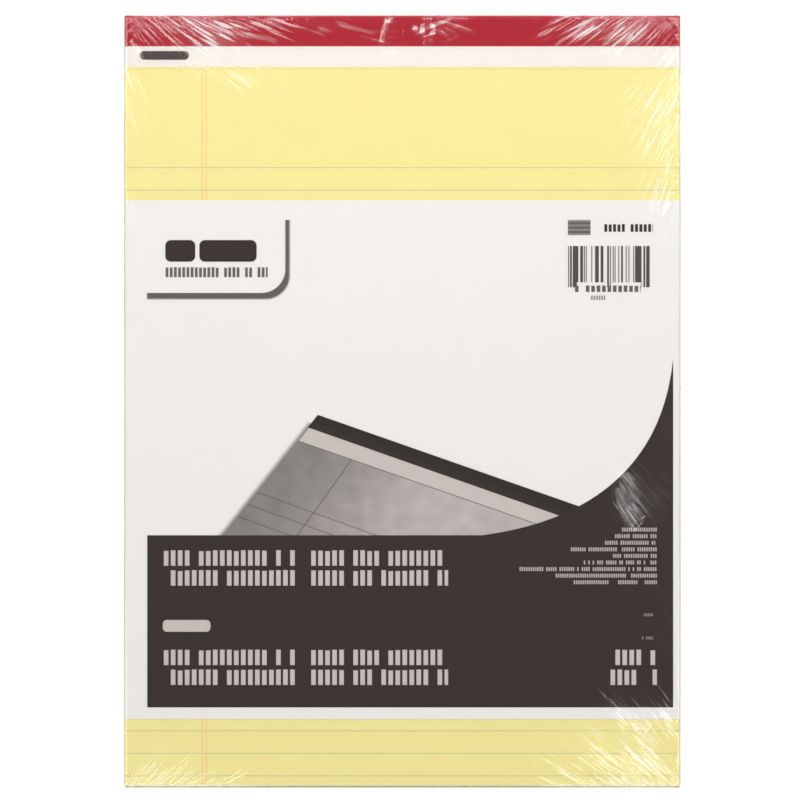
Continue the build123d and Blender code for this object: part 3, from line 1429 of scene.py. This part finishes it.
STREAK_FANS = (
    StreakFan(HL, (-15.0, -20.5), 42.0),
    StreakFan(HR, (-38.0, -44.0), 78.0),
    StreakFan(FL, (-26.0, -32.0), 60.0),
    StreakFan(FR, (-60.0, -58.0), 95.0),
    StreakFan(HR, (60.0, 134.0), 130.0, (19.0, 187.0), 0.22),
)

PATCHES = (
    Haze(HL, (36.0, 8.0), (9.0, 5.0), 0.2, 25.0),
    Haze(HL, (27.0, 6.0), (16.0, 7.0), 0.08, 20.0),
    Haze(HR, (20.0, 8.5), (6.5, 4.5), 0.2),
    Haze(HR, (24.5, 13.0), (2.5, 4.0), 0.2),
    Haze(HR, (30.0, 6.0), (16.0, 6.0), 0.08),
    Haze(HR, (8.0, 34.0), (11.0, 10.0), 0.2, 45.0),
    Haze(HR, (8.0, 55.0), (8.0, 22.0), 0.12, 0.0),
    Haze(HR, (17.5, 187.0), (6.0, 9.0), 0.05),
    Haze(HR, (5.5, 190.0), (3.0, 70.0), 0.008),
    Haze(FR, (13.6, 10.7), (5.0, 4.0), 0.16),
    Haze(FR, (18.0, 14.0), (18.0, 13.0), 0.08),
    Haze(FL, (14.0, 8.0), (14.0, 9.0), 0.05),
)

STROKES = (
    Stroke(((-4.0, -0.5), (-6.7, 5.6), (-8.2, 11.8)), 0.5, 0.55, 0.3),
    Stroke(((-5.0, 6.2), (-3.4, 6.7), (-1.8, 6.3)), 0.10, 0.3, 0.08),
    Stroke(((-5.9, 8.4), (-4.6, 9.0), (-2.6, 8.6)), 0.12, 0.3, 0.1),
    Stroke(((-6.6, 10.9), (-5.4, 11.4), (-3.2, 11.2)), 0.10, 0.3, 0.06),
    Stroke(((-9.6, 6.8), (-12.0, 8.0), (-15.5, 8.8)), 0.12, 0.3, 0.06),
    Stroke(((-9.8, 9.8), (-12.5, 10.6), (-16.0, 11.6)), 0.12, 0.3, 0.06),
    Stroke(((8.2, 4.4), (7.6, 6.3), (8.3, 8.0)), 0.5, 0.45, 0.5),
    Stroke(((11.4, 4.2), (12.1, 6.3), (11.2, 8.2)), 0.5, 0.45, 0.5),
    Stroke(((4.6, 4.4), (5.1, 5.8), (5.9, 6.9)), 0.4, 0.45, 0.4),
    Stroke(((8.6, -0.5), (9.0, 2.2), (9.1, 4.6)), 0.22, 0.4, 0.12),
    Stroke(((10.6, -0.5), (10.6, 2.0), (10.4, 4.6)), 0.22, 0.4, 0.12),
    Stroke(((9.4, 8.4), (9.0, 10.6), (8.2, 13.0)), 0.22, 0.4, 0.12),
    Stroke(((10.8, 8.4), (10.9, 10.6), (10.4, 12.6)), 0.22, 0.4, 0.12),
    Stroke(((12.8, 1.4), (18.0, 1.3), (24.4, 2.1)), 0.3, 0.45, 0.2),
    Stroke(((13.4, 2.6), (20.0, 4.6), (27.5, 7.2)), 0.3, 0.45, 0.2),
    Stroke(((13.2, 4.4), (17.5, 6.2), (22.0, 8.6)), 0.2, 0.45, 0.1),
    Stroke(((12.8, 5.8), (15.2, 7.2), (17.8, 8.8)), 0.3, 0.45, 0.2),
)


@dataclass(frozen=True)
class FineArea:
    """A part of the film that is cut finely, placed as the creases are."""

    corner: Corner
    start: tuple[float, float]
    end: tuple[float, float]


GRID = 6.0
FINE_CUTS = 11
FINE_AREAS = (
    FineArea(HL, (0.0, 0.0), (82.0, 24.0)),
    FineArea(HL, (96.0, 0.0), (140.0, 14.0)),
    FineArea(HR, (0.0, 0.0), (52.0, 26.0)),
    FineArea(HL, (12.0, 24.0), (66.0, 44.0)),
    FineArea(HL, (0.0, 24.0), (12.0, 92.0)),
    FineArea(HR, (0.0, 26.0), (28.0, 92.0)),
    FineArea(HR, (12.0, 168.0), (36.0, 206.0)),
    FineArea(FL, (0.0, 0.0), (50.0, 26.0)),
    FineArea(FR, (0.0, 0.0), (52.0, 42.0)),
)


@dataclass
class ShrinkFilm:
    """The clear film, shrunk tight, with its seam and its creases."""

    material: bpy.types.Material
    head_slack: float = 0.25
    foot_slack: float = 1.2
    side_slack: float = 0.05
    end_round: float = 2.1
    side_round: float = 1.5
    corner_round: float = 0.8
    back_round: float = 0.15
    seam_height: float = 0.5
    seam_reach: float = 0.35
    back_share: float = 0.6
    crease_reach: float = 4.0
    most_haze: float = 0.85
    seed: int = 5

    def build(self) -> bpy.types.Object:
        """Models the film: a rounded block, cut finely where it is creased."""
        low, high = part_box("shrink_film")
        seam, aside = self.seam_reach * MM, self.side_slack * MM
        low = Vector((low.x - aside, low.y + seam - self.foot_slack * MM, low.z))
        high = Vector((high.x - seam + aside, high.y - seam + self.head_slack * MM, high.z))
        self.low, self.high = low, high
        piece = block_between("film_wrap", low, high)
        self._round_back(piece)
        self._add_seam(piece)
        for axis in (0, 1):
            cut_across(piece, axis, evenly(low[axis], high[axis], GRID * MM))
        self._refine(piece)
        for name, values in self._crease(piece).items():
            kind, part = ("FLOAT", "value") if values.ndim == 1 else ("FLOAT_VECTOR", "vector")
            attribute = piece.data.attributes.new(name, kind, "POINT")
            attribute.data.foreach_set(part, values.astype(np.float32).ravel())
        smooth(piece, 60.0)
        dress(piece, self.material)
        piece.visible_shadow = False
        return tie(piece, "shrink_film")

    def _round_back(self, piece: bpy.types.Object) -> None:
        """Rounds the edges under the pack."""
        take(piece)
        bpy.ops.object.mode_set(mode="EDIT")
        limit = self.low.z + 1e-6
        select_parts(piece, "EDGE", lambda edge: all(vert.co.z < limit for vert in edge.verts))
        radius = self.back_round * MM
        bpy.ops.mesh.bevel(offset=radius, segments=2, profile=0.5, affect="EDGES")
        bpy.ops.object.mode_set(mode="OBJECT")

    def _add_seam(self, piece: bpy.types.Object) -> None:
        """Draws the trimmed seam out of the head, the foot and the right side."""
        middle = (self.low.z + self.high.z) / 2
        half = self.seam_height / 2 * MM
        cut_across(piece, 2, [middle - half, middle + half])
        take(piece)
        bpy.ops.object.mode_set(mode="EDIT")
        select_parts(
            piece, "FACE",
            lambda one: abs(one.calc_center_median().z - middle) < half and one.normal.x > -0.3,
        )
        bpy.ops.mesh.extrude_region_shrink_fatten(
            TRANSFORM_OT_shrink_fatten={"value": self.seam_reach * MM}
        )
        bpy.ops.object.mode_set(mode="OBJECT")

    def _point(self, corner: Corner, inward: float, along: float) -> np.ndarray:
        """Turns a place measured from a corner into X and Y in millimetres."""
        side, end = corner.value
        x = (self.high.x if side > 0 else self.low.x) / MM - side * inward
        y = (self.high.y if end > 0 else self.low.y) / MM - end * along
        return np.array((x, y))

    def _creased(self, one: bmesh.types.BMFace, back: bool) -> bool:
        """Tells whether a face of the film lies where it is creased.

        Args:
            one: The face.
            back: Whether the faces below the seam are wanted, and not those above it.

        Returns:
            Whether it does.
        """
        centre = one.calc_center_median()
        off = centre.z - (self.low.z + self.high.z) / 2
        if (off < 0.0) != back or abs(off) < (self.seam_height / 2 + 0.1) * MM:
            return False
        if max(abs(part) for part in one.normal) < 0.99:
            return False
        for area in FINE_AREAS:
            ends = np.array([self._point(area.corner, *end) for end in (area.start, area.end)]) * MM
            low, high = ends.min(axis=0), ends.max(axis=0)
            if all(low[axis] - MM < centre[axis] < high[axis] + MM for axis in (0, 1)):
                return True
        return False

    def _refine(self, piece: bpy.types.Object) -> None:
        """Cuts the film finely where its creases lie, and half as finely under the pack."""
        for back, cuts in ((False, FINE_CUTS), (True, FINE_CUTS // 2)):
            take(piece)
            bpy.ops.object.mode_set(mode="EDIT")
            select_parts(piece, "FACE", lambda one: self._creased(one, back))
            bpy.ops.mesh.subdivide(number_cuts=cuts)
            bpy.ops.object.mode_set(mode="OBJECT")
        # Lines close to the edges hold the rounds. Most of them meet the fine cuts.
        steps = (0.5, 1.0, 2.0, 3.0, 4.0, 5.0, 6.0)
        for axis in (0, 1):
            length = self.high[axis] - self.low[axis]
            fine = length / round(length / (GRID * MM)) / (FINE_CUTS + 1)
            cut_across(piece, axis, [self.low[axis] + fine * step for step in steps])
            cut_across(piece, axis, [self.high[axis] - fine * step for step in steps])
        cut_across(piece, 2, [self.high.z - step * MM for step in (0.15, 0.3, 0.6, 1.2, 1.8, 2.4)])

    def _round(self, places: np.ndarray) -> None:
        """Rounds the film's upright edges, then its upper ones, widest at the head and the foot."""
        top = self.high.z / MM
        radius = self.corner_round
        for side in (-1.0, 1.0):
            for end in (-1.0, 1.0):
                corner = Corner((side, end))
                edge = self._point(corner, radius, radius)
                out = side * (places[:, 0] - edge[0]) / radius
                up = end * (places[:, 1] - edge[1]) / radius
                inside = (out > 0.0) & (up > 0.0)
                factor = np.maximum(out, up) / np.maximum(np.hypot(out, up), 1e-9)
                places[:, 0] = np.where(inside, edge[0] + side * out * factor * radius, places[:, 0])
                places[:, 1] = np.where(inside, edge[1] + end * up * factor * radius, places[:, 1])
        for axis, radius in ((0, self.side_round), (1, self.end_round)):
            for limit, side in ((self.low[axis] / MM, -1.0), (self.high[axis] / MM, 1.0)):
                rounded_corner(places, axis, (limit - side * radius, top - radius), radius, side)

    def _trails(self) -> list[tuple[np.ndarray, np.ndarray, float, float, float, float]]:
        """Draws every crease as a line of points.

        Returns:
            For each crease its points, how tall each is from 0 to 1, its height, its width, its
            haze and how tightly it pulls the film round it.
        """
        rng = np.random.default_rng(self.seed)
        trails = []
        for spray in CREASES:
            side, end = spray.corner.value
            for number in range(spray.count):
                share = (number + rng.random()) / spray.count
                root = np.array(spray.start) + share * (np.array(spray.end) - np.array(spray.start))
                root += rng.normal(0.0, spray.scatter, 2) * (0.6, 0.25)
                first, last = spray.angles
                angle = first + share * (last - first) + rng.normal(0.0, spray.turn)
                length = rng.uniform(*spray.lengths)
                start = -rng.uniform(0.0, 3.0)
                run = np.arange(start, length, 0.25)
                bow = rng.normal(0.0, spray.bend) * run**2
                aside = bow + 0.12 * np.sin(run / rng.uniform(1.5, 4.0) + rng.uniform(0, 6))
                turn = math.radians(angle)
                inward = root[0] + run * math.cos(turn) - aside * math.sin(turn)
                along = root[1] + run * math.sin(turn) + aside * math.cos(turn)
                base = self._point(spray.corner, 0.0, 0.0)
                points = base - np.stack((side * inward, end * along), axis=1)
                part = (run - start) / (length - start)
                tall = np.clip(part / 0.15, 0.0, 1.0) * (1.0 - part) ** 0.7
                strength = rng.uniform(0.45, 1.15)
                width = spray.width * rng.uniform(0.75, 1.3)
                rise, haze = spray.height * strength, spray.haze * strength
                trails.append((points, tall, rise, width, haze, spray.pull))
        head_middle = np.array(((self.low.x + self.high.x) / 2 / MM, self.high.y / MM))
        for stroke in STROKES:
            share = np.linspace(0.0, 1.0, 40)[:, None]
            first, second, third = (np.array(point) for point in stroke.points)
            pull = 2.0 * second - (first + third) / 2.0
            curve = (1 - share) ** 2 * first + 2 * share * (1 - share) * pull + share**2 * third
            points = head_middle + curve * (1.0, -1.0)
            tall = np.sin(math.pi * np.clip(share[:, 0], 0.04, 0.96)) ** 0.5
            trails.append((points, tall, stroke.height, stroke.width, stroke.haze, 0.15))
        return trails

    def _crease(self, piece: bpy.types.Object) -> dict[str, np.ndarray]:
        """Raises the creases.

        Args:
            piece: The film, cut finely.

        Returns:
            At each vertex, how milky the film is, how tightly it is creased, and
            its place across and along the creases.
        """
        places = places_of(piece)
        self._round(places)
        move_to(piece, places)
        normals = np.empty(len(places) * 3)
        piece.data.vertices.foreach_get("normal", normals)
        normals = normals.reshape(-1, 3)
        low, high = np.array(self.low) / MM, np.array(self.high) / MM
        middle = (low[2] + high[2]) / 2
        back = places[:, 2] < middle
        depth = np.where(back, places[:, 2] - low[2], high[2] - places[:, 2])
        flat = places[:, :2].copy()
        gaps = np.stack(
            (flat[:, 0] - low[0], high[0] - flat[:, 0], flat[:, 1] - low[1], high[1] - flat[:, 1])
        )
        nearest = gaps.argmin(axis=0)
        for number, (axis, sign) in enumerate(((0, -1.0), (0, 1.0), (1, -1.0), (1, 1.0))):
            flat[:, axis] += np.where(nearest == number, sign * depth, 0.0)
        height = np.zeros(len(places))
        haze = np.zeros(len(places))
        tight = np.zeros(len(places))
        for points, tall, rise, width, milk, pull in self._trails():
            least = points.min(axis=0) - self.crease_reach
            most = points.max(axis=0) + self.crease_reach
            near = np.flatnonzero(((flat > least) & (flat < most)).all(axis=1))
            if not len(near):
                continue
            across, along = (flat[near, axis, None] - points[None, :, axis] for axis in (0, 1))
            away = np.hypot(across, along)
            closest = away.argmin(axis=1)
            gap = away[np.arange(len(near)), closest]
            ridge = tall[closest] * np.exp(-((gap / width) ** 2))
            height[near] = np.maximum(height[near], rise * ridge)
            haze[near] += milk * tall[closest] * np.exp(-((gap / (1.6 * width)) ** 2))
            tight[near] += pull * np.sqrt(tall[closest]) * np.exp(-((gap / 2.0) ** 2))
        for patch in PATCHES:
            side, end = patch.corner.value
            centre = self._point(patch.corner, *patch.centre)
            inward, along = side * (centre[0] - flat[:, 0]), end * (centre[1] - flat[:, 1])
            turn = math.radians(patch.tilt)
            first = (inward * math.cos(turn) + along * math.sin(turn)) / patch.radii[0]
            second = (along * math.cos(turn) - inward * math.sin(turn)) / patch.radii[1]
            haze += patch.strength * np.exp(-(first**2) - second**2)
        # The creases die away at the seam, and are weaker under the pack.
        still = np.clip((np.abs(places[:, 2] - middle) - 1.0) / 2.0, 0.0, 1.0)
        share = still * np.where(back, self.back_share, 1.0)
        places += normals * (height * share)[:, None]
        places[:, 2] = np.maximum(places[:, 2], low[2] - 0.25)
        move_to(piece, places)
        return {
            "haze": np.clip(haze * share, 0.0, self.most_haze),
            "tight": (1.0 - np.exp(-tight)) * share,
            "streak": self._streak_places(flat),
        }

    def _streak_places(self, flat: np.ndarray) -> np.ndarray:
        """Measures the film across and along its creases, which fan out from apexes past its corners.

        Args:
            flat: The film's vertices, unfolded, in millimetres.

        Returns:
            Rows of the place across, the place along and the fan's number.
        """
        found = np.zeros((len(flat), 3))
        nearest = np.full(len(flat), np.inf)
        for number, fan in enumerate(STREAK_FANS):
            centre = self._point(fan.corner, *fan.middle)
            away = np.hypot(*(flat - centre).T) / fan.reach
            side, end = fan.corner.value
            base = self._point(fan.corner, *fan.apex)
            inward, along = side * (base[0] - flat[:, 0]), end * (base[1] - flat[:, 1])
            mine = away < nearest
            across = np.arctan2(along, inward) * fan.radius
            label = np.full(len(flat), 9.0 * number)
            found[mine] = np.stack((across, np.hypot(inward, along), label), axis=1)[mine]
            nearest = np.minimum(nearest, away)
        return found


@dataclass(frozen=True)
class ClearFilm:
    """Clear glossy film, milky and crinkled where it has shrunk most, with painted highlight on its
    creases.
    """

    milk: tuple[float, float, float] = (0.93, 0.93, 0.925)
    index: float = 1.5
    shine: float = 1.5
    roughness: float = 0.08
    streaks_across: float = 1.15
    streaks_along: float = 0.06
    line_milk_and_highlight: float = 0.36
    most_milk: float = 0.52
    line_limits: tuple[float, float] = (0.55, 0.66)
    haze_spread: tuple[float, float] = (0.3, 2.6)
    milk_roughness: float = 0.45
    relief: float = 1.0

    def material(self) -> bpy.types.Material:
        """Makes the finish."""
        material, graph, shader = new_material("clear_film")
        haze, tight = (graph.attribute(name) for name in ("haze", "tight"))
        streak = graph.attribute("streak", "Vector")
        fine = graph.noise(streak, 1.0, 1.0, stretch=(self.streaks_across, self.streaks_along, 1.0))
        # The fine crease lines are painted milky white: partly the film's own whitening, partly
        # painted highlight along the creases.
        lines = graph.ramp(fine, *self.line_limits)
        cloud = haze * graph.scaled(lines, *self.haze_spread)
        milk = (cloud + graph.product(tight, lines, self.line_milk_and_highlight)).least(self.most_milk)
        values = {"Height": fine * tight, "Strength": 1.0, "Distance": self.relief * MM}
        bump = graph.node("Bump", values).outputs[0]
        fresnel = graph.node("Fresnel", {"IOR": self.index, "Normal": bump}).outputs[0]
        mirror = graph.math("MULTIPLY", fresnel, self.shine, clamp=True)
        cover = graph.math("ADD", mirror, milk, clamp=True)
        bare = self.shine * ((self.index - 1.0) / (self.index + 1.0)) ** 2
        shader.inputs["Base Color"].default_value = (*self.milk, 1.0)
        graph.feed(shader.inputs["Metallic"], bare / (milk + bare))
        rough = graph.scaled(milk, self.roughness, self.milk_roughness)
        graph.feed(shader.inputs["Roughness"], rough)
        graph.feed(shader.inputs["Normal"], bump)
        clear = graph.node("BsdfTransparent").outputs[0]
        mixed = graph.node("MixShader", {0: cover, 1: clear, 2: shader.outputs[0]})
        output = next(n for n in material.node_tree.nodes if n.type == "OUTPUT_MATERIAL")
        graph.feed(output.inputs["Surface"], mixed.outputs[0])
        return material


# ------------------------------------------------------------------ the studio


@dataclass(frozen=True)
class Lamp:
    """One soft area light, aimed at the pack.

    Attributes:
        turn: Its bearing from the pack in degrees, counted from +X.
        zenith: Its angle from straight up in degrees.
        distance: How far off it is, in metres.
        size: Its width and height in metres.
        radiance: How bright its face is.
    """

    name: str
    turn: float
    zenith: float
    distance: float
    size: tuple[float, float]
    radiance: float


@dataclass
class Studio:
    """The pale floor, the soft light and the camera straight overhead."""

    floor_size: float = 8.0
    floor_glow: float = 0.55
    sky: float = 0.89
    sky_reflected: tuple[float, float] = (0.15, 0.95)
    sky_fall: tuple[float, float] = (0.55, 0.15)
    backdrop: float = 1.05
    ring: float = 4.5
    ring_heights: tuple[float, float, float, float] = (0.50, 0.62, 0.88, 0.95)
    ring_parting: tuple[float, float] = (0.04, 0.16)
    camera_place: tuple[float, float, float] = (-0.0009, 0.0002, 0.876)
    lens: float = 100.0
    lamps: tuple[Lamp, ...] = (
        Lamp("head_light", 90.0, 38.0, 1.0, (0.8, 0.8), 2.65),
        Lamp("foot_light", -90.0, 38.0, 1.1, (0.8, 0.8), 0.52),
    )

    def build(self) -> None:
        """Builds the floor, the lights and the camera."""
        self._floor()
        for lamp in self.lamps:
            self._light(lamp)
        self._sky()
        self._camera()
        bpy.context.scene.view_settings.view_transform = "Standard"

    def _floor(self) -> None:
        """Lays the floor just under the pack."""
        deselect_all()
        bpy.ops.mesh.primitive_plane_add(size=self.floor_size, location=(0.0, 0.0, -0.0004))
        floor = bpy.context.object
        floor.name = "floor"
        material, graph, shader = new_material("pale_floor")
        looks = {
            "Base Color": (0.9, 0.9, 0.9), "Roughness": 0.9, "Specular IOR Level": 0.0,
            "Emission Color": (1.0, 1.0, 1.0), "Emission Strength": self.floor_glow,
        }
        for name, value in looks.items():
            graph.feed(shader.inputs[name], value)
        dress(floor, material)

    def _light(self, lamp: Lamp) -> None:
        """Hangs one lamp."""
        data = bpy.data.lights.new(lamp.name, "AREA")
        data.shape = "RECTANGLE"
        data.size, data.size_y = lamp.size
        data.energy = lamp.radiance * math.pi * lamp.size[0] * lamp.size[1]
        light = bpy.data.objects.new(lamp.name, data)
        bpy.context.scene.collection.objects.link(light)
        turn, zenith = math.radians(lamp.turn), math.radians(lamp.zenith)
        level = math.sin(zenith)
        way = Vector((math.cos(turn) * level, math.sin(turn) * level, math.cos(zenith)))
        light.location = way * lamp.distance
        light.rotation_euler = way.to_track_quat("Z", "Y").to_euler()
        light.visible_camera = False
        light.visible_glossy = False

    def _sky(self) -> None:
        """Fills the world with soft light and a ring of panels that only reflections show."""
        world = bpy.data.worlds.new("studio")
        world.use_nodes = True
        bpy.context.scene.world = world
        graph = Graph(world.node_tree)
        back = next(n for n in world.node_tree.nodes if n.type == "BACKGROUND")
        back.inputs["Color"].default_value = (1.0, 1.0, 1.0, 1.0)
        way = graph.node("TexCoord").outputs["Generated"]
        x, y, z = map(graph.value, graph.node("SeparateXYZ", {0: way}).outputs)
        first, second, third, fourth = self.ring_heights
        ring = graph.ramp(z, first, second) * graph.ramp(z, fourth, third)
        # The ring is parted into four panels, off the pack's corners, so that its edges stay plain.
        apart = graph.ramp(abs(x).least(abs(y)), *self.ring_parting)
        panels = graph.product(ring, apart, self.ring)
        reflected = graph.scaled(graph.ramp(z, *self.sky_fall), *self.sky_reflected) + panels
        rays = graph.node("LightPath").outputs
        seen, glossy = (graph.value(rays[name]) for name in ("Is Camera Ray", "Is Glossy Ray"))
        plain = graph.scaled(seen, self.sky, self.backdrop)
        graph.feed(back.inputs["Strength"], plain + glossy * (reflected - plain))

    def _camera(self) -> None:
        """Hangs the camera straight over the pack."""
        data = bpy.data.cameras.new("overhead")
        data.lens = self.lens
        data.sensor_width = 36.0
        camera = bpy.data.objects.new("overhead", data)
        camera.location = self.camera_place
        bpy.context.scene.collection.objects.link(camera)
        bpy.context.scene.camera = camera


def main() -> None:
    """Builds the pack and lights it."""
    logging.basicConfig(level=logging.INFO, format="%(message)s")
    page_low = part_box("top_pad_page_block")[0]
    tape_low, tape_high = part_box("top_pad_binding_tape")
    label_low, label_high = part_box("label_sheet")
    head = tape_high.y / MM
    levels = tuple(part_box(f"{name}_pad_binding_tape")[1].z / MM - FLAP_DEPTH for name in PAD_NAMES)
    materials = {
        "paper": CanaryPaper().material(page_low.x / MM, head, (tape_high.y - tape_low.y) / MM),
        "tape": BindingPaper().material(page_low.x / MM, head, levels),
        "board": Chipboard().material(),
        "wire": DrawnWire().material(),
    }
    for name in PAD_NAMES:
        WritingPad(name, materials).build()
    LabelSheet(LabelPrint().material(label_low.x / MM, label_high.y / MM)).build()
    ShrinkFilm(ClearFilm().material()).build()
    Studio().build()


if __name__ == "__main__":
    main()
